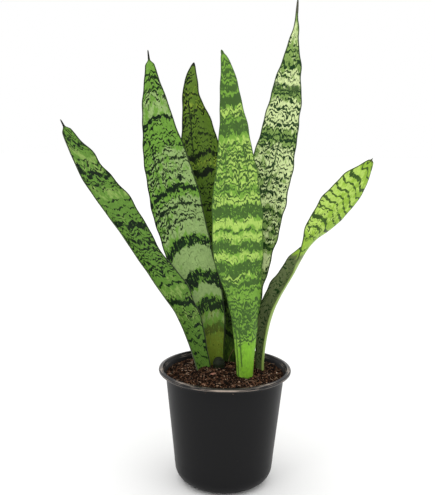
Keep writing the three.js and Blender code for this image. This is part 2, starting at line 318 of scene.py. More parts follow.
def leaf_rings(work):
    """A CAD leaf's points ring by ring from its foot, each ring begun above the one before."""
    order, seen = foot_ring(work)
    count = len(order)
    orders, straight, slanted = [order], 0.0, 0.0
    while True:
        seen |= set(order)
        following = {e.other_vert(v) for v in order for e in v.link_edges} - seen
        if len(following) < count:
            break
        ups = [following & {e.other_vert(v) for e in v.link_edges} for v in order]
        upper = [(ups[j] & ups[(j + 1) % count]).pop() for j in range(count)]
        straight += sum((order[j].co - upper[j].co).length for j in range(count))
        slanted += sum((order[j].co - upper[j - 1].co).length for j in range(count))
        order = upper
        orders.append(order)
    turn = 0 if straight < slanted else 1
    starts = [-(k * turn) % count for k in range(len(orders))]
    return np.array([[tuple(v.co) for v in o[s:] + o[:s]] for o, s in zip(orders, starts)])


def leaf_cage(node):
    """The hollow and the back face of a CAD leaf: two grids, rows from foot to tip and columns
    from its left margin to its right one as the hollow face is looked at."""
    work = merged_copy(node)
    grid = leaf_rings(work)
    work.free()
    # The two short edges of a ring are the margins, and the points between them are the faces.
    body = grid[: len(grid) * 2 // 3]
    lengths = np.linalg.norm(np.roll(body, -1, 1) - body, axis=2).sum(0)
    half = grid.shape[1] // 2
    cut = int(np.argmin(lengths[:half] + lengths[half:])) + 1
    grid = np.roll(grid, -cut, 1)
    one, other = grid[:, :half], grid[:, half:][:, ::-1]
    wide = [np.linalg.norm(np.diff(face, axis=1), axis=2).sum() for face in (one, other)]
    hollow, back = (one, other) if wide[0] < wide[1] else (other, one)
    middle = half // 2
    tangent = np.gradient((hollow[:, middle] + back[:, middle]) / 2, axis=0)
    side = np.cross(tangent, hollow[:, middle] - back[:, middle])
    if ((hollow[:, -1] - hollow[:, 0]) * side).sum() < 0:
        hollow, back = hollow[:, ::-1], back[:, ::-1]
    return hollow, back


def lengthwise(points):
    """Distance along a row of points from its first, in millimetres."""
    steps = np.linalg.norm(np.diff(points, axis=0), axis=1) / MM
    return np.concatenate([[0], np.cumsum(steps)])


def blade_faces(node):
    """The two faces of a leaf as smooth grids, rows from foot to tip."""
    hollow, back = leaf_cage(node)
    rows = int(lengthwise(hollow[:, hollow.shape[1] // 2])[-1] / ROW_STEP_MM)
    lengthways = spline_weights(len(hollow), rows)
    crossways = spline_weights(hollow.shape[1], FACE_COLUMNS)
    return [np.einsum("ri,ijk,cj->rck", lengthways, face, crossways) for face in (hollow, back)]


def blade_axes(faces):
    """For each row: millimetres up the blade from the top of the mix, its width in millimetres,
    the way to its right margin and the way its hollow face looks."""
    middle = FACE_COLUMNS // 2
    spine = (faces[0][:, middle] + faces[1][:, middle]) / 2
    along = lengthwise(spine)
    along -= np.interp(MIX_LEVEL, spine[:, 2], along)
    tangent = np.gradient(spine, axis=0)
    tangent /= np.linalg.norm(tangent, axis=1, keepdims=True)
    outward = faces[0][:, -1] - faces[0][:, 0]
    width = np.linalg.norm(outward, axis=1, keepdims=True)
    outward = outward / np.maximum(width, TINY)
    return along, width[:, 0] / MM, outward, np.cross(outward, tangent)


def swell(along, waves):
    """A gentle wave along the leaf from (height, length, shift) triples in millimetres."""
    return sum(h * np.sin(2 * math.pi * (along / length + shift)) for h, length, shift in waves)


def ruffle_blade(faces, look, along, outward, facing):
    """Moves both faces: the margins run in small waves and trims, and the blade swells a little."""
    calm = np.clip(along / CALM_FOOT_MM, 0, 1) * np.clip((along[-1] - along) / CALM_TIP_MM, 0, 1)
    left = swell(along, look["left_waves"]) * calm
    right = swell(along, look["right_waves"]) * calm
    for middle, spread, more_left, more_right in look["trims"]:
        amount = np.exp(-(((along - middle) / spread) ** 2))
        left, right = left + more_left * amount, right + more_right * amount
    share = np.linspace(-1, 1, FACE_COLUMNS)
    near_left, near_right = np.clip(-share, 0, 1), np.clip(share, 0, 1)
    drift = left[:, None] * near_left**5 - right[:, None] * near_right**5
    frill = (left[:, None] * near_left**3 + right[:, None] * near_right**3) * FRILL
    rolls = np.sin(along[:, None] / SWELL_LENGTH_MM + SWELL_LEAN * share)
    frill += SWELL_MM * calm[:, None] * rolls
    for face in faces:
        face -= (drift * MM)[:, :, None] * outward[:, None]
        face += (frill * MM)[:, :, None] * facing[:, None]


def rounded_margin(faces, edge, inner):
    """The points round one margin, from the hollow face to the back one."""
    hollow, back = faces[0][:, edge], faces[1][:, edge]
    way = hollow + back - faces[0][:, inner] - faces[1][:, inner]
    way /= np.maximum(np.linalg.norm(way, axis=1, keepdims=True), TINY)
    centre, arm = (hollow + back) / 2, (hollow - back) / 2
    bulge = way * MARGIN_BULGE_MM * MM
    return np.stack([
        centre + arm * math.cos(t) + bulge * math.sin(t) for t in np.radians(MARGIN_TURNS)], 1)


def draw_in(rings, along, width, awn):
    """Narrows the rings to a needle at the tip and rounds its very end."""
    long, wide, blend = awn
    to_tip = along[-1] - along
    room = np.maximum(width, LEAST_MM)
    needle = NEEDLE_POINT + (1 - NEEDLE_POINT) * np.clip(to_tip / long, 0, 1)
    widen = np.sin(np.clip((to_tip - long) / blend, 0, 1) * math.pi / 2) ** 1.2
    target = wide * needle + np.maximum(room - wide, 0) * widen
    close = 1 - np.clip(to_tip / TIP_ROUND_MM, 0, 1)
    size = np.minimum(1, target / room) * (np.sqrt(1 - close**2) * (1 - BLUNT) + BLUNT)
    centres = rings.mean(1, keepdims=True)
    return centres, centres + (rings - centres) * size[:, None, None]


def pattern_places(faces):
    """For each point of each ring: millimetres from the middle of its face, half the width of
    that face, and 0 on the hollow face to 1 on the back one."""
    sides, halves = [], []
    for face in faces:
        steps = np.linalg.norm(np.diff(face, axis=1), axis=2) / MM
        reach = np.cumsum(np.pad(steps, ((0, 0), (1, 0))), 1)
        halves.append(reach[:, -1:] / 2)
        sides.append(reach - halves[-1])
    ends = len(MARGIN_TURNS)
    side = np.concatenate([
        sides[0], np.repeat(sides[0][:, -1:], ends, 1),
        sides[1][:, ::-1], np.repeat(sides[0][:, :1], ends, 1)], 1)
    half = np.concatenate([
        np.repeat(halves[0], FACE_COLUMNS + ends, 1), np.repeat(halves[1], FACE_COLUMNS, 1),
        np.repeat(halves[0], ends, 1)], 1)
    outer = np.repeat([0, 0.5, 1, 0.5], [FACE_COLUMNS, ends, FACE_COLUMNS, ends])
    return side, np.maximum(half, LEAST_MM), np.tile(outer, (len(side), 1))


def make_leaf(node, look):
    faces = blade_faces(node)
    along, width, outward, facing = blade_axes(faces)
    ruffle_blade(faces, look, along, outward, facing)
    right, left = rounded_margin(faces, -1, -2), rounded_margin(faces, 0, 1)
    rings = np.concatenate([faces[0], right, faces[1][:, ::-1], left[:, ::-1]], 1)
    centres, rings = draw_in(rings, along, width, look["awn"])
    points = np.concatenate([rings.reshape(-1, 3), centres[0], centres[-1]])
    leaf = mesh_object("fine_" + node, points, tube_faces(*rings.shape[:2]))

    side, half, outer = pattern_places(faces)
    up = np.repeat(along[:, None], side.shape[1], 1)
    values = {**leaf_pattern(look, up, side, half, along[-1]), "outer": outer}
    store(leaf.data, {
        key: np.concatenate([grid.ravel(), grid[0, :1], grid[-1, :1]])
        for key, grid in values.items()})
    return leaf


# ---------------------------------------------------------------- leaf pattern

FAR_MM = -12.0  # the place against a band's edge where no band is near
NEAR_MM = -4.0  # further out than this a band doesn't set how dark the marks are
SOFT_END_MM = 9.0  # the length over which a zone comes and goes
BACK_SHIFT = 40.0  # how far the back's noise lies from the hollow face's
LINE_STEP_MM = 6.2  # from one thin dark line to the next
THINNEST_MM = 2.2  # a thinner band is laid this thick
FULL_DEPTH_MM = 3.0  # the middle of a band is at least this far inside it
LEAN_MM = 300  # along the blade, the length in which a band's ripple moves round by one wave
DRY_END_MM = 4  # how far below the needle the dry tip begins


def crooked(along, side, seed):
    """Millimetres by which a leaf's marks wander lengthwise: three waves across the blade, which
    shift along it."""
    bend = 1.4 * np.sin(along / 9 + seed)
    return (0.9 * np.sin(side / 0.87 + bend) + 0.9 * np.sin(side / 1.9 - along / 13 + 2 * seed)
            + 0.8 * np.sin(side / 4.3 + along / 21 + 3 * seed))


def nearest_band(bands, along, share, ripple):
    """Millimetres inside the nearest dark band, how dark it is and how far flecks break it."""
    band = np.full(along.shape, FAR_MM)
    depth, fleck = np.ones(along.shape), np.zeros(along.shape)
    for middle, thick, arch, slope, dark, broken in bands:
        level = middle - arch * share**2 + slope * share + ripple
        half = max(thick, THINNEST_MM) / 2
        inside = (half - np.abs(along - level)) * max(1.0, FULL_DEPTH_MM / half)
        nearer = inside > band
        band = np.where(nearer, inside, band)
        depth = np.where(nearer, dark, depth)
        fleck = np.where(nearer, broken, fleck)
    return band, np.where(band > NEAR_MM, depth, 1.0), fleck


def zones(rows, level, share):
    """How far each point lies in a leaf's zones of one kind, from 0 to 1."""
    total = np.zeros(level.shape)
    for low, high, amount, lean in rows:
        rise = np.clip((level - low) / SOFT_END_MM + 0.5, 0, 1)
        fall = np.clip((high - level) / SOFT_END_MM + 0.5, 0, 1)
        across = np.clip(1 + lean * share, 0, 1.6)
        total = np.maximum(total, amount * rise * fall * across)
    return np.clip(total, 0, 1)


def nearest_crease(creases, along, share, half):
    """Millimetres from the nearest dark lengthwise line."""
    nearest = np.full(along.shape, 9.0)
    for low, high, from_share, to_share in creases:
        t = np.clip((along - low) / (high - low), 0, 1)
        line = from_share + (to_share - from_share) * t
        beyond = np.maximum(np.maximum(low - along, along - high), 0)
        nearest = np.minimum(nearest, np.hypot(np.abs(share - line) * half, beyond))
    return nearest


def leaf_pattern(look, along, side, half, length):
    """Numbers on each point of a leaf that its finish reads.

    along, across  millimetres up the blade from the mix and from its middle to the right
    level          the same as along, but bent as the bands are
    margin         millimetres in from the margin
    band, depth    millimetres inside the nearest dark band, and how dark that band is
    fleck          how far that band is broken by pale flecks
    speckle        how thick the fine dark lines between the bands are
    pale, young  how far the ground goes to the paler green, and to the colour of the foot, which on some
    leaves is painted shade
    crease         millimetres from the nearest dark lengthwise line
    dull, tip      how grey the back is, and how dry the tip
    """
    share = side / half
    height, turns, shift = look["wave"]
    ripple = height * np.sin(2 * math.pi * (turns * share + shift + along / LEAN_MM))
    ripple += crooked(along, side, look["seed"]) * look["unrest"]
    band, depth, fleck = nearest_band(look["bands"], along, share, ripple)
    arch, slope = look["sag"]
    level = along + arch * share**2 - slope * share - ripple
    dry_length = look["awn"][0] + DRY_END_MM
    values = {
        "along": along, "across": side, "level": level, "margin": half - np.abs(side),
        "band": band, "depth": depth, "fleck": fleck,
        "crease": nearest_crease(look["creases"], along, share, half),
        "tip": np.clip(1 - (length - along) / dry_length, 0, 1),
    }
    for key, rows in (("speckle", "speckles"), ("pale", "pales"), ("young", "young"),
                      ("dull", "dulls")):
        values[key] = zones(look[rows], level, share)
    return values


class LeafFinish(Finish):
    """A leaf's skin. Its noises lie along the blade, and differ on its two faces."""

    def __init__(self, name, seed):
        super().__init__(name, Specular_IOR_Level=0.13)
        self.along, self.across = self.attribute("along"), self.attribute("across")
        self.outer = self.attribute("outer")
        self.layer = self.outer * BACK_SHIFT + seed

    def grain(self, wide, tall, detail=2.0, roughness=0.5, shift=0.0, along=None):
        """Noise whose spots are that wide across and that tall along the blade, in mm."""
        spot = self.point(self.across / wide, (along or self.along) / tall, self.layer + shift)
        return self.noise(spot, 1.0, detail, roughness)


def leaf_finish(name, look):
    finish = LeafFinish(name, look["seed"])
    read = finish.attribute

    # Dark marks lie where the band, with the noise on top, comes above nought: columns draw
    # its edges out lengthwise, bars run across and drift makes them uneven. Between the bands
    # run thin crooked lines, thick and close together where there are many specks.
    columns = finish.grain(wide=1.7, tall=7.0, roughness=0.6)
    drift = finish.grain(wide=9.0, tall=14.0, shift=3.1)
    bars = finish.grain(
        wide=look["bar"], tall=4.2, detail=3.5, roughness=0.62, shift=17.9,
        along=finish.along + columns * 9.0 + drift * 12.0)
    patches = finish.grain(wide=5.0, tall=11.0, detail=3.0, roughness=0.6, shift=23.0)
    unrest = (bars * 3.4 + columns * 3.6 + drift * 1.4) * look["unrest"]
    ramp = read("band").rise(-3.5, 3.5, -1.0, 1.0)
    over = ramp - read("fleck") * 0.9 * ramp.rise(0.1, 1.0) + unrest
    stripes = (read("level") + columns * 10.0 + drift * 20.0) * (2 * math.pi / LINE_STEP_MM)
    thin = stripes.wave() + bars * 3.6 + patches * 4.2 + read("speckle") * 1.2 - 1.25
    thin = thin.rise(-0.15, 0.25) * read("speckle").rise(0.1, 0.3)
    line = (1.0 - (read("crease") + columns * 1.2).rise(0.5, 1.2)) * 0.9
    marks = (over.rise(-0.06, 0.1) * read("depth")).most(line).most(thin)

    # The ground between them.
    fine = finish.grain(wide=1.3, tall=4.5, detail=3.0, roughness=0.7, shift=29.0)
    paleness = (read("pale") - 0.45 + patches * 2.6 + columns * 1.2).rise(-0.22, 0.22)
    ground = finish.mix(paleness, look["green"], look["light"])
    ground = finish.mix((read("young") + patches * 1.2 + columns * 1.2).rise(0.2, 0.8),
                        ground, look["foot"])
    ground = finish.mix(1.0, ground, 1.0 + fine * 0.9 + bars * 0.7, "MULTIPLY")
    deep = finish.mix((over + patches).rise(0.0, 0.7).most(thin), look["mid"], look["dark"])
    colour = finish.mix(marks, ground, deep)

    # A thin dark margin, a dry tip, and a duller back.
    rim = 1.0 - (read("margin") + fine * 0.6).rise(0.5, 1.4)
    colour = finish.mix(rim * 0.9, colour, look["margin"])
    colour = finish.mix(read("tip").rise(0.05, 0.4), colour, look["dry"])
    colour = finish.mix(finish.outer * read("dull"), colour, look["back"])

    # Fine ridges run up the blade between shallow pores.
    ridges = finish.grain(wide=0.55, tall=40.0, shift=31.0)
    pores = finish.grain(wide=1.6, tall=2.2, detail=3.0, roughness=0.6, shift=37.0)
    height = ridges * 0.5 + pores * 0.35 + patches * 0.3
    return finish.show(
        Base_Color=colour,
        Roughness=marks * -0.06 + patches * 0.12 + fine * 0.1 + look["rough"],
        Normal=finish.bump(height, 0.25 * MM, 0.55),
    )


# ---------------------------------------------------------------- how each leaf is marked

# Places are millimetres up the blade from the top of the mix; on the blade's width -1 is the left
# margin and 1 the right one. Each row of
#   bands     middle, thickness, drop at the margins, tilt, darkness, pale flecks
#   speckles, pales, young and dulls
#             from, to, amount, lean to the right
#   creases   from, to, place across at each end
#   trims     middle, half length, left margin out, right margin out
# and left_waves and right_waves, the margins' waves, give height, length and shift. The rest:
#   sag       how far the zones drop at the margins, and their tilt
#   wave      every band's ripple: height, waves from the middle to a margin, shift
#   awn       the dry needle at the tip: length, width, length over which the blade widens
#   bar       length across the blade of the small dark bars
#   unrest    how uneven the bands' edges are
#   rough     the skin's roughness

EVERYWHERE = (-30, 500)
USUAL_LOOK = dict(bar=8.0, unrest=1, young=[], creases=[], trims=[], dulls=[(*EVERYWHERE, 0.3, 0)])
LOOKS = {
    "leaf_left_tall": dict(
        slot="leaf_green", seed=1.0, sag=(10, 3), awn=(11, 2.3, 6), wave=(0, 1, 0), rough=0.42,
        green=paint(105, 150, 55), light=paint(144, 172, 106), foot=paint(112, 130, 40),
        dark=paint(6, 28, 4), mid=paint(18, 50, 12), margin=paint(8, 18, 8),
        dry=paint(20, 22, 14), back=paint(110, 140, 80),
        bands=[
            (345, 1.6, 3, 0, 0.96, 0), (339, 1.4, 3, 0, 0.93, 0), (328, 2.4, 4, 1, 0.95, 0),
            (297, 4.0, 10, 3, 1, 0.1), (278, 2.2, 9, 2, 0.95, 0.2), (264, 1.2, 8, 2, 0.9, 0.3),
            (249, 2.6, 9, 3, 0.96, 0.2), (234, 0.8, 9, 3, 0.86, 0.3), (215, 6.0, 11, 4, 1, 0.25),
            (195, 3.4, 11, 4, 0.96, 0.3), (178, 0.6, 10, 3, 0.86, 0.4), (153, 12.0, 12, 2, 1, 0.68),
            (108, 17.0, 10, 0, 1, 0.64), (75, 15.0, 6, 0, 0.97, 0.5), (46, 12, 5, 3, 0.55, 0.5),
        ],
        speckles=[
            (310, 345, 0.55, 0), (236, 300, 0.55, -0.4), (168, 236, 0.66, -0.6),
            (90, 168, 0.2, 0), (-10, 60, 0.14, 0.5)],
        pales=[(296, 330, 0.5, 0.2), (218, 262, 0.55, 0.5), (160, 205, 0.8, 0.5),
               (118, 148, 1.0, 0.3), (86, 100, 1.0, 0.2), (58, 66, 0.7, 0)],
        young=[(-30, 52, 0.8, -0.2), (52, 84, 0.35, 0)],
        creases=[(140, 262, -0.42, -0.55)],
        left_waves=[(0.4, 61, 0.1), (0.25, 23, 0.6)],
        right_waves=[(0.4, 53, 0.4), (0.2, 29, 0.2)],
    ),
    "leaf_front": dict(
        slot="leaf_green", seed=5.0, sag=(0, 0), awn=(3, 2.6, 5), wave=(1.2, 1.1, 0.1), rough=0.42,
        green=paint(114, 160, 52), light=paint(182, 214, 102), foot=paint(134, 196, 40),
        dark=paint(8, 40, 10), mid=paint(24, 64, 18), margin=paint(14, 36, 14),
        dry=paint(24, 28, 18), back=paint(110, 150, 70),
        bands=[
            (349, 2.4, 4, 0, 0.96, 0.2), (339, 4.0, 2, 0, 0.96, 0.3), (331, 2.0, 2, 0, 0.93, 0.3),
            (322, 8.0, 1, 0, 0.96, 0.6), (307, 12.0, -1, 0, 1, 0.05), (290, 2.4, 2, 0, 0.96, 0.2),
            (278, 13.0, 0, 0, 0.95, 0.6), (260, 2.0, 4, 0, 0.93, 0.3), (252, 1.6, 4, 0, 0.93, 0.3),
            (243, 1.2, 3, 0, 0.93, 0.3), (212, 2.0, 2, 0, 0.9, 0.4), (188, 12.0, 1, 0, 0.95, 0.6),
            (167, 2.6, -1, 0, 1, 0.1), (149, 9.0, -2, 0, 0.93, 0.5), (125, 11.0, -3, 0, 0.95, 0.6),
            (107, 5.0, -9, 0, 0.96, 0.4), (66, 30.0, -8, 0, 0.95, 1.1),
        ],
        speckles=[
            (312, 350, 0.75, 0), (270, 300, 0.85, 0), (214, 262, 1, 0), (178, 214, 0.8, 0),
            (140, 160, 0.65, 0), (96, 136, 0.9, 0), (40, 96, 1, 0), (-5, 48, 0.16, 0.7)],
        # At the foot, the last pale zone, leaning to the right, is a painted highlight along the leaf's
        # channel.
        pales=[(292, 300, 1.0, 0), (215, 268, 0.6, -0.3), (196, 206, 0.9, 0), (170, 180, 0.9, 0),
               (156, 164, 0.9, 0), (134, 142, 0.9, 0), (112, 118, 0.7, 0), (0, 46, 0.45, 0.9)],
        young=[(-30, 44, 0.75, -0.3), (44, 60, 0.35, -0.8)],
        # The last two creases, at the foot, are painted shade in the folds of the channel.
        creases=[(205, 256, -0.52, -0.48), (150, 256, 0.5, 0.52), (205, 250, -0.1, -0.06),
                 (14, 58, 0.3, 0.44), (2, 62, 0.62, 0.7)],
        left_waves=[(0.5, 47, 0.3), (0.3, 25, 0.0)],
        right_waves=[(0.3, 57, 0.7), (0.2, 27, 0.2)],
    ),
    "leaf_right_tall": dict(
        slot="leaf_pale", seed=9.0, sag=(3, 0), awn=(16, 2.8, 14), wave=(1.2, 1.3, 0.3), rough=0.44,
        green=paint(128, 158, 82), light=paint(208, 224, 160), foot=paint(150, 180, 90),
        dark=paint(18, 50, 18), mid=paint(40, 76, 30), margin=paint(26, 46, 22),
        dry=paint(76, 76, 64), back=paint(130, 152, 100),
        bands=[
            (366, 1.4, -3, 0, 0.93, 0.3), (350, 5.0, -5, 0, 0.95, 0.4), (338, 2.4, -5, 0, 0.95, 0.3),
            (322, 11.0, -3, 0, 0.8, 0.9), (301, 2.6, -2, 0, 0.96, 0.4), (286, 3.0, 0, 0, 0.93, 0.5),
            (270, 4.0, 2, 0, 0.93, 0.5), (258, 2.0, 3, 0, 0.93, 0.4), (236, 2.0, 12, 0, 0.93, 0.4),
            (222, 3.0, 13, 0, 0.95, 0.4), (207, 4.0, 10, 0, 0.95, 0.5), (186, 5.0, 4, 0, 0.93, 0.5),
            (172, 3.0, 3, 0, 0.93, 0.4), (163, 3.0, 2, 0, 0.93, 0.4), (145, 4.0, 2, 0, 0.91, 0.5),
            (118, 3.0, 3, 0, 0.9, 0.5), (92, 3.0, 3, 0, 0.9, 0.5), (66, 3.0, 3, 0, 0.9, 0.5),
        ],
        speckles=[
            (330, 385, 0.5, 0), (288, 330, 0.75, 0), (244, 290, 0.85, 0), (200, 244, 0.66, -0.2),
            (140, 210, 0.8, -0.5), (40, 140, 0.34, 0)],
        pales=[(375, 400, 0.6, 0), (326, 345, 0.7, 0), (280, 312, 0.9, 0), (225, 262, 0.7, 0.4),
               (190, 225, 0.6, 0.8), (150, 190, 0.3, 0.9), (120, 140, 0.9, 0)],
        young=[(-30, 30, 0.5, 0)],
        creases=[(200, 270, 0.0, 0.1)],
        left_waves=[(0.4, 43, 0.5), (0.2, 21, 0.1)],
        right_waves=[(0.7, 39, 0.2), (0.3, 22, 0.3)],
        trims=[(275, 14, 0, -1.5)],
    ),
    "leaf_far_left": dict(
        slot="leaf_shaded", seed=13.0, sag=(0, -11), awn=(8, 2.2, 6), wave=(1.8, 1.1, 0.25), rough=0.45,
        green=paint(94, 134, 52), light=paint(134, 164, 84), foot=paint(110, 140, 60),
        dark=paint(8, 26, 10), mid=paint(22, 46, 16), margin=paint(10, 18, 8),
        dry=paint(14, 14, 10), back=paint(140, 152, 126),
        bands=[
            (301, 8.0, 0, -11, 0.91, 0.5), (275, 1.2, 0, -11, 0.9, 0.3), (258, 8.0, -2, -11, 0.98, 0.4),
            (246, 1.4, -2, -11, 0.93, 0.3), (223, 1.8, -2, -11, 0.95, 0.2), (213, 1.2, -2, -11, 0.93, 0.2),
            (205, 1.4, -2, -11, 0.93, 0.2), (191, 7.0, 0, -11, 0.98, 0.4), (170, 5.0, 0, -11, 0.93, 0.5),
            (160, 1.6, 0, -11, 0.93, 0.4), (146, 1.2, 0, -11, 0.9, 0.4), (132, 1.2, 0, -11, 0.9, 0.4),
            (111, 3.0, 0, -11, 0.98, 0.3), (86, 8.0, 0, -11, 0.98, 0.4), (72, 1.6, 0, -11, 0.93, 0.4),
            (58, 2.4, 0, -11, 0.95, 0.4), (45, 1.2, 0, -11, 0.9, 0.4), (34, 3.0, 0, -11, 0.98, 0.2),
            (19, 2.4, 0, -8, 0.98, 0.2), (6, 1.4, 0, -8, 0.96, 0.2),
        ],
        speckles=[(286, 318, 0.6, 0), (236, 272, 0.65, 0), (120, 200, 0.75, 0), (64, 100, 0.5, 0),
                  (26, 64, 0.42, 0), (0, 26, 0.25, 0)],
        pales=[(262, 290, 0.4, 0), (226, 240, 0.5, 0), (92, 108, 0.5, 0), (60, 80, 0.4, 0)],
        dulls=[(*EVERYWHERE, 0.75, 0)],
        left_waves=[(0.4, 51, 0.1), (0.2, 27, 0.6)],
        right_waves=[(0.8, 55, 0.35), (0.4, 31, 0.2)],
        trims=[(205, 35, -2.5, 0), (262, 13, 0, -2.5), (155, 13, 0, -3)],
    ),
    "leaf_back": dict(
        slot="leaf_shaded", seed=17.0, sag=(4, 3), awn=(2, 2.4, 2), wave=(1, 1, 0), rough=0.46,
        # The dark foot colour of this leaf is a painted shade, for where the leaves in front shade its
        # lower part.
        green=paint(94, 124, 40), light=paint(136, 160, 54), foot=paint(52, 76, 32),
        dark=paint(8, 20, 4), mid=paint(18, 36, 8), margin=paint(10, 20, 8),
        dry=paint(24, 26, 16), back=paint(84, 104, 58),
        bands=[
            (318, 2.0, 6, 3, 0.86, 0.5), (296, 3.0, 6, 8, 0.86, 0.6), (270, 2.0, 8, 4, 0.9, 0.5),
            (248, 6.0, 6, 4, 0.96, 0.4), (227, 8.0, 2, 0, 0.98, 0.3), (212, 2.0, 2, 0, 0.93, 0.4),
            (190, 4.0, 2, 0, 0.9, 0.4), (150, 9.0, 2, 0, 0.93, 0.3), (110, 9.0, 2, 0, 0.93, 0.3),
            (70, 9.0, 2, 0, 0.93, 0.3), (35, 6.0, 2, 0, 0.93, 0.3),
        ],
        speckles=[(280, 345, 0.6, -0.7), (236, 280, 0.55, -0.5), (180, 236, 0.5, 0),
                  (40, 180, 0.4, 0)],
        pales=[(232, 246, 0.4, 0.4), (290, 330, 0.3, 0)],
        # This zone lays the foot colour over the lower blade as painted shade.
        young=[(-30, 110, 0.6, 0)],
        creases=[(240, 310, -0.35, -0.3)],
        left_waves=[(0.5, 45, 0.4), (0.3, 26, 0.1)],
        right_waves=[(0.6, 41, 0.0), (0.2, 24, 0.4)],
        trims=[(290, 22, 0, 1.2)],
    ),
    "leaf_right_twisted": dict(
        slot="leaf_yellow_green", seed=21.0, sag=(4, 7), awn=(2, 1.4, 2), wave=(2.6, 0.8, 0.45),
        bar=9.0, unrest=0.7, rough=0.42,
        # The grey foot colour of this leaf is a painted shade, for the shaded hollow of its twisted lower
        # blade.
        green=paint(140, 178, 54), light=paint(176, 208, 96), foot=paint(98, 110, 70),
        dark=paint(18, 52, 8), mid=paint(44, 84, 18), margin=paint(26, 44, 16),
        dry=paint(50, 50, 30), back=paint(146, 172, 86),
        bands=[
            (272, 2.4, 0, 2, 0.93, 0), (263, 2.6, 0, 4, 0.96, 0.1), (249, 4.6, 0, 6, 1, 0.3),
            (240, 2.4, 2, 6, 0.96, 0.2), (230, 2.8, 4, 7, 0.96, 0.2), (221, 2.4, 4, 7, 0.96, 0.2),
            (212, 3.2, 4, 8, 0.96, 0.2), (203, 2.4, 4, 8, 0.96, 0.2), (190, 4.4, 4, 8, 1, 0.3),
            (179, 3.4, 4, 7, 0.96, 0.3), (167, 2.4, 3, 6, 0.93, 0.3), (153, 2.4, 2, 4, 0.9, 0.3),
        ],
        speckles=[(160, 215, 0.25, 0.4), (0, 140, 0.5, 0)],
        pales=[(170, 260, 0.5, 0.6)],
        # This zone paints the shaded hollow of the lower blade in the foot colour.
        young=[(-30, 146, 1.0, 0)],
        dulls=[(-30, 140, 0.85, 0), (140, 500, 0.1, 0)],
        left_waves=[(0.6, 33, 0.2), (0.2, 17, 0.3)],
        right_waves=[(0.6, 37, 0.5), (0.2, 19, 0.1)],
        trims=[(195, 25, -2.5, 0), (62, 40, 1.5, 0)],
    ),
}

for node, own_look in LOOKS.items():
    look = {**USUAL_LOOK, **own_look}
    add_piece(make_leaf(node, look), leaf_finish(node + "_skin", look), look["slot"], node)

# ---------------------------------------------------------------- nursery pot

POT_SEGMENTS = 192
WALL = 1.4 * MM
BASE = 1.6 * MM
BEAD = 2.2 * MM  # section radius of the rolled rim
LIP_REACH = 8.1 * MM  # from the outside of the wall to the outside of the rim
FLARE_HEIGHT = 10 * MM
FOOT_RADIUS = RIM_RADIUS * 56 / 75
CORNER = 19.5 * MM
DRAIN_HOLES = 8
DRAIN_RADIUS = 4.5 * MM
DRAIN_RING = FOOT_RADIUS - 13 * MM
DRAIN_SEGMENTS = 36
DRILL_LENGTH = 12 * MM
RIDGE_HEIGHT, RIDGE_WIDTH, RIDGE = 24 * MM, 1.2 * MM, 0.25 * MM  # a faint ring low on the wall
WALL_TOP_RADIUS = RIM_RADIUS - LIP_REACH
WALL_TOP = POT_HEIGHT - FLARE_HEIGHT


def arc(centre, radius, start, end, steps):
    turns = np.radians(np.linspace(start, end, steps))
    return [(centre[0] + radius * math.cos(t), centre[1] + radius * math.sin(t)) for t in turns]


def wall_radius(height):
    """Outside of the straight wall."""
    share = (height - CORNER) / (WALL_TOP - CORNER)
    return FOOT_RADIUS + (WALL_TOP_RADIUS - FOOT_RADIUS) * share


def pot_profile():
    """The pot's section, from the middle of its underside out, up, over the rim and back."""
    foot = (FOOT_RADIUS - CORNER, CORNER)
    bead = (RIM_RADIUS - BEAD, POT_HEIGHT - BEAD)
    outline = [(0, 0), (foot[0] * 0.5, 0)] + arc(foot, CORNER, -90, 0, 16)
    for height in np.linspace(CORNER, WALL_TOP, 26)[1:]:
        ridge = RIDGE * math.exp(-(((height - RIDGE_HEIGHT) / RIDGE_WIDTH) ** 2))
        outline.append((wall_radius(height) + ridge, height))
    # The wall turns out under the rim into a ledge, and the rim rolls over it.
    outline += [
        (WALL_TOP_RADIUS + 0.5 * MM, WALL_TOP + 2.2 * MM),
        (WALL_TOP_RADIUS + 1.7 * MM, WALL_TOP + 3.7 * MM),
        (WALL_TOP_RADIUS + 3.2 * MM, WALL_TOP + 4.6 * MM),
    ]
    outline += arc(bead, BEAD, -120, 35, 13)
    inner = RIM_RADIUS - 2 * BEAD
    outline += [
        (RIM_RADIUS - 0.9 * MM, POT_HEIGHT - 0.75 * MM),
        (RIM_RADIUS - 1.6 * MM, POT_HEIGHT - 0.45 * MM),
        (RIM_RADIUS - 3.2 * MM, POT_HEIGHT - 0.2 * MM),
        (inner + 0.8 * MM, POT_HEIGHT),
        (inner + 0.2 * MM, POT_HEIGHT - 0.2 * MM),
        (inner - 0.1 * MM, POT_HEIGHT - 0.8 * MM),
        (inner - 0.6 * MM, POT_HEIGHT - 2.2 * MM),
        (inner - 1.7 * MM, POT_HEIGHT - 4.6 * MM),
        (WALL_TOP_RADIUS - WALL + 1.5 * MM, WALL_TOP + 3.0 * MM),
        (WALL_TOP_RADIUS - WALL + 0.5 * MM, WALL_TOP + 1.2 * MM),
    ]
    for height in np.linspace(WALL_TOP, CORNER, 14):
        outline.append((wall_radius(height) - WALL, height))
    outline += arc(foot, CORNER - BASE, 0, -90, 12)[1:] + [(0, BASE)]
    return outline


def lathe(outline, segments):
    """Points and faces of an outline turned about the upright axis; its ends lie on the axis."""
    turns = np.linspace(0, 2 * math.pi, segments, endpoint=False)
    inner = outline[1:-1]
    points = [(r * math.cos(t), r * math.sin(t), z) for r, z in inner for t in turns]
    points += [(0, 0, outline[0][1]), (0, 0, outline[-1][1])]
    return points, tube_faces(len(inner), segments)


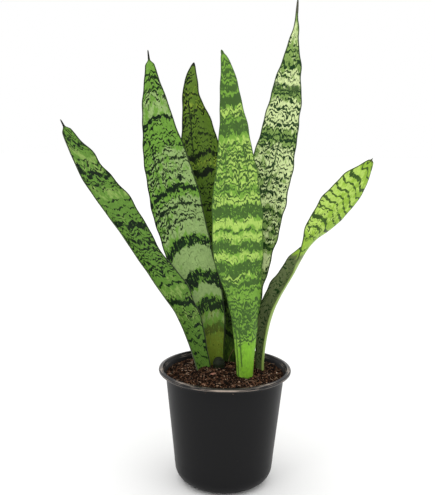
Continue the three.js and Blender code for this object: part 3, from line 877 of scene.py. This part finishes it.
def drain_drills():
    """The rods that cut the drain holes."""
    drills = bmesh.new()
    for index in range(DRAIN_HOLES):
        turn = (index + 0.5) * 2 * math.pi / DRAIN_HOLES
        place = Matrix.Translation((DRAIN_RING * math.cos(turn), DRAIN_RING * math.sin(turn), 0))
        bmesh.ops.create_cone(
            drills, cap_ends=True, segments=DRAIN_SEGMENTS, radius1=DRAIN_RADIUS,
            radius2=DRAIN_RADIUS, depth=DRILL_LENGTH, matrix=place)
    mesh = bpy.data.meshes.new("drain_drills")
    drills.to_mesh(mesh)
    drills.free()
    return new_object("drain_drills", mesh)


def store_pot_places(pot):
    """On each point of the pot: its height, its distance from the axis, whether it looks inwards,
    and a number that comes and goes three times round the pot."""
    spots = np.array([tuple(v.co) for v in pot.data.vertices])
    facing = np.array([tuple(v.normal) for v in pot.data.vertices])
    away = np.hypot(spots[:, 0], spots[:, 1])
    inward = -(facing * spots)[:, :2].sum(1) / np.maximum(away, MM)
    store(pot.data, {
        "height": spots[:, 2], "radius": away, "inside": np.clip(inward * 2, 0, 1),
        "round": np.sin(3 * np.arctan2(spots[:, 1], spots[:, 0])),
    })


def make_pot():
    pot = mesh_object("fine_grow_pot", *lathe(pot_profile(), POT_SEGMENTS))
    cutter = drain_drills()
    cut = pot.modifiers.new("drain holes", "BOOLEAN")
    cut.operation, cut.solver, cut.object = "DIFFERENCE", "EXACT", cutter
    settle(pot)
    bpy.data.objects.remove(cutter)
    pot.data.shade_smooth()
    store_pot_places(pot)
    return pot


def pot_finish():
    finish = Finish("black_pot_plastic", Specular_IOR_Level=0.07, Coat_Roughness=0.12)
    place = finish.place()
    height, radius = finish.attribute("height"), finish.attribute("radius")
    inside, round_rim = finish.attribute("inside"), finish.attribute("round")
    cloud = finish.noise(place, 28.0, 3.0, 0.55)
    fine = finish.noise(place, 900.0, 2.0, 0.5)
    scuffs = finish.noise(place, 160.0, 4.0, 0.7)
    rim = height.rise(WALL_TOP + 4 * MM, POT_HEIGHT - 2.5 * MM)
    # Dust and painted highlights lie on the rim in thin pale lines that run round it.
    lines = finish.noise(
        finish.point(round_rim * 1.2, height * 1100.0, radius * 900.0), 1.0, 2.0, 0.6)
    lines = (lines + scuffs * 0.12).rise(0.02, 0.2)
    dust_and_highlight = (scuffs + cloud * 0.5).rise(0.2, 0.42) * 0.12 + rim * lines * 0.85
    # The inside of the pot is painted darker than the outside: painted shade in the pot's hollow.
    plastic_with_inner_shade = finish.mix(inside, paint(28, 28, 29), paint(6, 6, 6))
    # The pale brown-grey is the colour of the dust and of the painted highlights on the rim.
    colour = finish.mix(dust_and_highlight, plastic_with_inner_shade, paint(186, 170, 156))
    return finish.show(
        Base_Color=colour,
        Roughness=cloud * 0.12 + fine * 0.06 + dust_and_highlight * 0.2 + 0.38,
        Coat_Weight=rim * 0.3,
        Normal=finish.bump(fine * 0.6 + cloud * 2.0, 0.06 * MM, 0.5),
    )


add_piece(make_pot(), pot_finish(), "pot_plastic", "grow_pot")

# ---------------------------------------------------------------- potting mix

MIX_SEGMENTS = 200
MIX_RINGS = 70
MIX_GAP = 0.3 * MM  # between the mix and the pot's wall
MIX_SPREAD = 1.6 * MM  # how far the top of the mix reaches out where the wall flares
MIX_CALM = 6 * MM  # the lumps die out over this width next to the wall
LUMPS, LUMP_STEEPNESS = 46, 0.0105


def mix_height(radius, reach):
    return MIX_LEVEL + MIX_CROWN * (1 - (radius / reach) ** 2)


def lumps(x, y):
    """How far the top of the mix stands above its even shape, in metres."""
    rng = np.random.default_rng(11)
    total = np.zeros_like(x)
    for _ in range(LUMPS):
        size = rng.uniform(5, 26) * MM
        turn, shift, lean = rng.uniform(0, 2 * math.pi, 3)
        weave = np.sin((x * math.cos(turn) + y * math.sin(turn)) * 2 * math.pi / size + shift)
        cross = np.cos((x * math.sin(turn) - y * math.cos(turn)) * 2 * math.pi / size + lean)
        total += weave * cross * size * LUMP_STEEPNESS
    return total


def make_mix():
    """The block of mix with an uneven top; returns it and its top as a bed for the crumbs."""
    reach = WALL_TOP_RADIUS - WALL + MIX_SPREAD
    foot = (FOOT_RADIUS - CORNER, CORNER)
    outline = [(0, BASE + MIX_GAP)] + arc(foot, CORNER - BASE - MIX_GAP, -90, 0, 8)
    heights = np.linspace(CORNER, WALL_TOP, 5)[1:]
    outline += [(wall_radius(h) - WALL - MIX_GAP, h) for h in heights]
    outline += [(reach, MIX_LEVEL)]
    shares = np.linspace(1, 0, MIX_RINGS + 1)[1:]
    outline += [(reach * s, mix_height(reach * s, reach)) for s in shares]
    points, faces = lathe(outline, MIX_SEGMENTS)
    points = np.array(points)
    away = np.hypot(points[:, 0], points[:, 1])
    top = (points[:, 2] > MIX_LEVEL - MERGE_DISTANCE) & (away < reach - MERGE_DISTANCE)
    lift = lumps(points[:, 0], points[:, 1]) * np.clip((reach - away) / MIX_CALM, 0, 1)
    points[top, 2] += lift[top]
    block = mesh_object("fine_potting_mix", points, faces)
    bed_faces = [f for f in faces if all(top[i] for i in f)]
    used = sorted({i for f in bed_faces for i in f})
    number = {old: new for new, old in enumerate(used)}
    bed = mesh_object(
        "mix_bed", points[used], [tuple(number[i] for i in f) for f in bed_faces])
    return block, bed


def mix_finish():
    finish = Finish("dark_potting_mix", Specular_IOR_Level=0.0)
    place = finish.place()
    lump = finish.noise(place, 330.0, 4.0, 0.7)
    grit = finish.noise(place, 1500.0, 3.0, 0.7)
    shade = (lump + grit * 0.7).rise(-0.35, 0.55)
    colour = finish.mix(shade, paint(6, 4, 3), paint(48, 33, 24))
    return finish.show(
        Base_Color=colour,
        Roughness=lump * 0.2 + 0.86,
        Normal=finish.bump(lump + grit * 0.5, 0.8 * MM, 0.9),
    )


def bit_finish(name, dark, light, bright):
    """Crumbs and fibres: each has its own shade, and a few are nearly white."""
    finish = Finish(name, Specular_IOR_Level=0.1)
    shade = finish.attribute("shade")
    grain = finish.noise(finish.place(), 1400.0, 3.0, 0.6)
    colour = finish.mix((shade + grain * 0.6).rise(0.35, 1.0), dark, light)
    colour = finish.mix((shade + grain * 0.05).rise(0.93, 0.97), colour, bright)
    return finish.show(
        Base_Color=colour,
        Roughness=grain * 0.25 + 0.8,
        Normal=finish.bump(grain, 0.3 * MM, 0.7),
    )


TURN = 6.28  # just under a full turn, in radians


class Tree:
    """A Geometry Nodes tree with named inputs that strews shapes over a bed."""

    def __init__(self, name, **sizes):
        self.group = bpy.data.node_groups.new(name, "GeometryNodeTree")
        face = self.group.interface
        face.new_socket("Geometry", in_out="INPUT", socket_type="NodeSocketGeometry")
        for key, value in sizes.items():
            kind = "NodeSocketInt" if isinstance(value, int) else "NodeSocketFloat"
            face.new_socket(key, in_out="INPUT", socket_type=kind).default_value = value
        face.new_socket("Material", in_out="INPUT", socket_type="NodeSocketMaterial")
        face.new_socket("Geometry", in_out="OUTPUT", socket_type="NodeSocketGeometry")
        self.source = self.group.nodes.new("NodeGroupInput")
        self.end = self.group.nodes.new("NodeGroupOutput")

    def given(self, name):
        return self.source.outputs[name]

    def node(self, kind, settings=None, inputs=None, output=0):
        made = self.group.nodes.new(kind)
        for key, value in (settings or {}).items():
            setattr(made, key, value)
        for key, value in (inputs or {}).items():
            if isinstance(value, bpy.types.NodeSocket):
                self.group.links.new(value, made.inputs[key])
            else:
                made.inputs[key].default_value = value
        return made.outputs[output]

    def chance(self, low, high, seed):
        """A random number for each shape."""
        return self.node("FunctionNodeRandomValue", {"data_type": "FLOAT"},
                         {2: low, 3: high, "Seed": seed}, output=1)

    def chance_vector(self, low, high, seed):
        return self.node("FunctionNodeRandomValue", {"data_type": "FLOAT_VECTOR"},
                         {"Min": low, "Max": high, "Seed": seed})

    def scaled(self, vector, size):
        return self.node("ShaderNodeVectorMath", {"operation": "SCALE"}, {0: vector, "Scale": size})

    def strew(self, shape, turn, size, shade_seed):
        """The shape laid at random points of the bed, each with its own shade."""
        points = self.node(
            "GeometryNodeDistributePointsOnFaces", {"distribute_method": "RANDOM"},
            {"Mesh": self.given("Geometry"), "Density": self.given("Density"),
             "Seed": self.given("Seed")})
        laid = self.node("GeometryNodeInstanceOnPoints", inputs={
            "Points": points, "Instance": shape, "Rotation": turn, "Scale": size})
        named = self.node(
            "GeometryNodeStoreNamedAttribute", {"data_type": "FLOAT", "domain": "INSTANCE"},
            {"Geometry": laid, "Name": "shade", "Value": self.chance(0.0, 1.0, shade_seed)})
        return self.node("GeometryNodeRealizeInstances", inputs={"Geometry": named})

    def finish(self, geometry):
        real = self.node("GeometryNodeRealizeInstances", inputs={"Geometry": geometry})
        done = self.node("GeometryNodeSetMaterial", inputs={
            "Geometry": real, "Material": self.given("Material")})
        self.group.links.new(done, self.end.inputs["Geometry"])
        return self


def grow(tree, bed, name, values):
    """The plain mesh that a tree makes on a bed."""
    holder = new_object(name, bed.data.copy())
    modifier = holder.modifiers.new(name, "NODES")
    modifier.node_group = tree.group
    for item in tree.group.interface.items_tree:
        if item.in_out == "INPUT" and item.name in values:
            modifier[item.identifier] = values[item.name]
    return settle(holder)


def crumb_tree():
    """Crumbs strewn over a bed: each is a small knobbly lump of its own size and turn."""
    tree = Tree("crumbs", Density=1.0, Smallest=1 * MM, Largest=3 * MM, Knobbly=0.4 * MM,
                Detail=1, Seed=1)
    lump = tree.node("GeometryNodeMeshIcoSphere", inputs={
        "Radius": 0.5, "Subdivisions": tree.given("Detail")})
    turn = tree.chance_vector((0, 0, 0), (TURN, TURN, TURN), tree.given("Seed"))
    # Small crumbs are commoner than large ones.
    skew = tree.node("ShaderNodeMath", {"operation": "POWER"}, {0: tree.chance(0.0, 1.0, 5), 1: 2.2})
    size = tree.node("ShaderNodeMix", inputs={
        0: skew, 2: tree.given("Smallest"), 3: tree.given("Largest")})
    shape = tree.chance_vector((0.5, 0.45, 0.35), (1.3, 1.0, 0.8), 9)
    laid = tree.strew(lump, turn, tree.scaled(shape, size), shade_seed=21)
    rough = tree.node(
        "ShaderNodeTexNoise", {"noise_dimensions": "3D"}, {"Scale": 620.0, "Detail": 1.0},
        output="Color")
    centred = tree.node("ShaderNodeVectorMath", {"operation": "SUBTRACT"},
                        {0: rough, 1: (0.5, 0.5, 0.5)})
    push = tree.scaled(centred, tree.given("Knobbly"))
    return tree.finish(
        tree.node("GeometryNodeSetPosition", inputs={"Geometry": laid, "Offset": push}))


def fibre_tree():
    """Thin curved fibres strewn over a bed, lying nearly flat."""
    tree = Tree("fibres", Density=1.0, Shortest=3 * MM, Longest=12 * MM, Thickness=0.2 * MM,
                Tilt=0.4, Seed=1)
    bow = tree.node(
        "GeometryNodeCurveQuadraticBezier",
        inputs={"Resolution": 6, "Start": (-0.5, 0, 0), "Middle": (0.0, 0.22, 0.1),
                "End": (0.5, 0, 0)})
    lean = tree.node("ShaderNodeMath", {"operation": "MULTIPLY"},
                     {0: tree.chance(-1.0, 1.0, 3), 1: tree.given("Tilt")})
    turn = tree.node("ShaderNodeCombineXYZ", inputs={
        "X": tree.chance(-1.2, 1.2, 8), "Y": lean, "Z": tree.chance(0.0, TURN, 4)})
    size = tree.chance(tree.given("Shortest"), tree.given("Longest"), 6)
    laid = tree.strew(bow, turn, size, shade_seed=22)
    section = tree.node("GeometryNodeCurvePrimitiveCircle",
                        inputs={"Resolution": 4, "Radius": tree.given("Thickness")})
    return tree.finish(tree.node("GeometryNodeCurveToMesh", inputs={
        "Curve": laid, "Profile Curve": section, "Fill Caps": True}))


block, bed = make_mix()
add_piece(block, mix_finish(), "potting_mix", "potting_mix")

crumbs = crumb_tree()
fibres = fibre_tree()
PEAT = bit_finish("peat_crumbs", paint(8, 5, 4), paint(112, 78, 58), paint(172, 144, 120))
STREWN = [
    (crumbs, "mix_crumbs", dict(Density=110000.0, Smallest=1.5 * MM, Largest=4.2 * MM,
                                Knobbly=1.1 * MM, Detail=2, Seed=3), PEAT),
    (crumbs, "mix_fine_crumbs", dict(Density=430000.0, Smallest=0.6 * MM, Largest=2.0 * MM,
                                     Knobbly=0.7 * MM, Detail=1, Seed=14), PEAT),
    (fibres, "mix_fibres", dict(Density=125000.0, Shortest=2.5 * MM, Longest=10 * MM,
                                Thickness=0.16 * MM, Tilt=0.35, Seed=5),
     bit_finish("coir_fibres", paint(30, 18, 12), paint(140, 102, 74), paint(220, 192, 166))),
    (crumbs, "mix_light_bits", dict(Density=9000.0, Smallest=0.8 * MM, Largest=2.4 * MM,
                                    Knobbly=0.5 * MM, Detail=2, Seed=8),
     bit_finish("pale_bits", paint(120, 84, 66), paint(196, 160, 132), paint(230, 216, 200))),
]
for tree, name, values, material in STREWN:
    strewn = grow(tree, bed, name, {**values, "Material": material})
    add_piece(strewn, material, "potting_mix")
bpy.data.objects.remove(bed)

# ---------------------------------------------------------------- stub, chips and rhizome


RUFFLES = 14
SMOOTHING = 3


def smoothed_copy(node, ruffle, size, fuller=0.0):
    """A CAD node's mesh subdivided, made uneven by waves of about that size and, where asked, a
    little fuller."""
    piece = copied_piece(node)
    soften = piece.modifiers.new("soften", "SUBSURF")
    soften.levels = soften.render_levels = SMOOTHING
    settle(piece)
    draw = np.random.default_rng(len(piece.name))
    waves = [(Vector(draw.normal(size=3)).normalized(), draw.uniform(0.6, 1.6),
              draw.uniform(0, TURN)) for _ in range(RUFFLES)]
    for vertex in piece.data.vertices:
        push = sum(math.sin(vertex.co.dot(way) * 2 * math.pi / (size * rate) + shift)
                   for way, rate, shift in waves) / len(waves)
        vertex.co += vertex.normal * (push * ruffle + fuller)
    piece.data.shade_smooth()
    return piece


def woody_finish(name, dark, light, grain_scale, rough):
    finish = Finish(name, Specular_IOR_Level=0.3)
    place = finish.place()
    grain = finish.noise(place, grain_scale, 4.0, 0.65)
    pores = finish.noise(place, grain_scale * 5, 3.0, 0.6)
    return finish.show(
        Base_Color=finish.mix((grain + pores * 0.5).rise(-0.3, 0.35), dark, light),
        Roughness=grain * 0.2 + rough,
        Normal=finish.bump(grain + pores * 0.4, 0.5 * MM, 0.8),
    )


# The stub is dark green, darkened further to near black with painted shade where it sits low between the
# leaves.
stub = smoothed_copy("old_leaf_stub", ruffle=1.4 * MM, size=7 * MM, fuller=0.9 * MM)
add_piece(stub, woody_finish(
    "old_leaf_skin", paint(7, 11, 4), paint(34, 46, 14), grain_scale=240.0, rough=0.6),
    "old_leaf", "old_leaf_stub")

PLAIN_BARK = (paint(84, 54, 38), paint(176, 130, 100))
BARKS = {
    "bark_chip_1": (paint(120, 72, 58), paint(206, 150, 128)),
    "bark_chip_2": (paint(110, 74, 46), paint(186, 140, 96)),
    "bark_chip_3": PLAIN_BARK,
    "bark_chip_4": PLAIN_BARK,
    "bark_chip_5": PLAIN_BARK,
    "bark_chip_6": PLAIN_BARK,
}
for node, (dark, light) in BARKS.items():
    chip = smoothed_copy(node, ruffle=0.7 * MM, size=4 * MM)
    bark = woody_finish(node + "_bark", dark, light, grain_scale=420.0, rough=0.85)
    add_piece(chip, bark, "bark", node)


def make_rhizome():
    piece = copied_piece("rhizome")
    skin = piece.modifiers.new("skin", "REMESH")
    skin.mode, skin.voxel_size = "VOXEL", 1.1 * MM
    even = piece.modifiers.new("even", "SMOOTH")
    even.factor, even.iterations = 0.5, 4
    settle(piece)
    piece.data.shade_smooth()
    return piece


add_piece(make_rhizome(), woody_finish(
    "rhizome_skin", paint(150, 92, 44), paint(204, 150, 84), grain_scale=180.0, rough=0.6),
    "rhizome", "rhizome")


STRAW_MM = [(4, 36, 125), (5, 36.5, 131), (7, 37, 137), (10.5, 37.5, 143)]
STRAW_SIDES = 6
STRAW_RADIUS_MM, STRAW_TAPER_MM = 0.45, 0.08  # at its foot, and how much thinner at each place


def make_straw():
    """A dry straw that leans out of the mix between the back and the front leaf."""
    places = [Vector(place) for place in STRAW_MM]
    points = []
    for index, place in enumerate(places):
        radius = STRAW_RADIUS_MM - STRAW_TAPER_MM * index
        for side in range(STRAW_SIDES):
            turn = 2 * math.pi * side / STRAW_SIDES
            points.append((place + Vector((math.cos(turn), math.sin(turn), 0)) * radius) * MM)
    points += [places[0] * MM, places[-1] * MM]
    return mesh_object("dry_straw", points, tube_faces(len(places), STRAW_SIDES))


add_piece(make_straw(), woody_finish(
    "straw_skin", paint(120, 96, 66), paint(180, 152, 112), grain_scale=600.0, rough=0.7),
    "potting_mix")

# ---------------------------------------------------------------- floor, light and camera


FLOOR_HALF = 6.0
AIM = (0, 0, 0.25)
CAMERA_PLACE = (-0.0102, -0.873, 0.4255)
CAMERA_TILT, CAMERA_ROLL = 80, 0.77  # degrees up from straight down, and round its own axis
LENS_MM, SENSOR_MM = 58.18, 36


def stage_floor():
    size = FLOOR_HALF
    mesh = bpy.data.meshes.new("studio_floor")
    corners = [(-size, -size, 0), (size, -size, 0), (size, size, 0), (-size, size, 0)]
    mesh.from_pydata(corners, [], [(0, 1, 2, 3)])
    floor = new_object("studio_floor", mesh)
    finish = Finish("pale_floor", Roughness=0.9, Specular_IOR_Level=0.1)
    cloud = finish.noise(finish.place(), 3.0, 2.0, 0.5)
    colour = finish.mix(cloud + 0.5, paint(247, 247, 246), paint(251, 251, 250))
    floor.data.materials.append(finish.show(Base_Color=colour))


def soft_light(name, place, size, power):
    data = bpy.data.lights.new(name, "AREA")
    data.shape, data.size, data.energy = "DISK", size, power
    lamp = new_object(name, data)
    away = Vector(place) - Vector(AIM)
    lamp.matrix_world = Matrix.Translation(place) @ away.to_track_quat("Z", "Y").to_matrix().to_4x4()


def overhead_light():
    """A wide light from nearly straight above."""
    data = bpy.data.lights.new("overhead", "SUN")
    data.energy, data.angle = 0.6, math.radians(80)
    new_object("overhead", data).matrix_world = Matrix.Rotation(math.radians(12), 4, "X")


def white_world():
    world = bpy.data.worlds.new("studio")
    world.use_nodes = True
    background = world.node_tree.nodes["Background"]
    background.inputs["Color"].default_value = (1, 1, 1, 1)
    background.inputs["Strength"].default_value = 1.0
    bpy.context.scene.world = world


def set_camera():
    data = bpy.data.cameras.new("camera")
    data.lens, data.sensor_width = LENS_MM, SENSOR_MM
    camera = new_object("camera", data)
    camera.matrix_world = (
        Matrix.Translation(CAMERA_PLACE)
        @ Matrix.Rotation(math.radians(CAMERA_TILT), 4, "X")
        @ Matrix.Rotation(math.radians(CAMERA_ROLL), 4, "Z")
    )
    bpy.context.scene.camera = camera


stage_floor()
white_world()
soft_light("key", (-0.9, -1.3, 1.5), size=0.5, power=2.4)
soft_light("fill", (1.3, -0.9, 0.9), size=0.5, power=1.0)
overhead_light()
set_camera()
bpy.context.scene.view_settings.view_transform = "Standard"
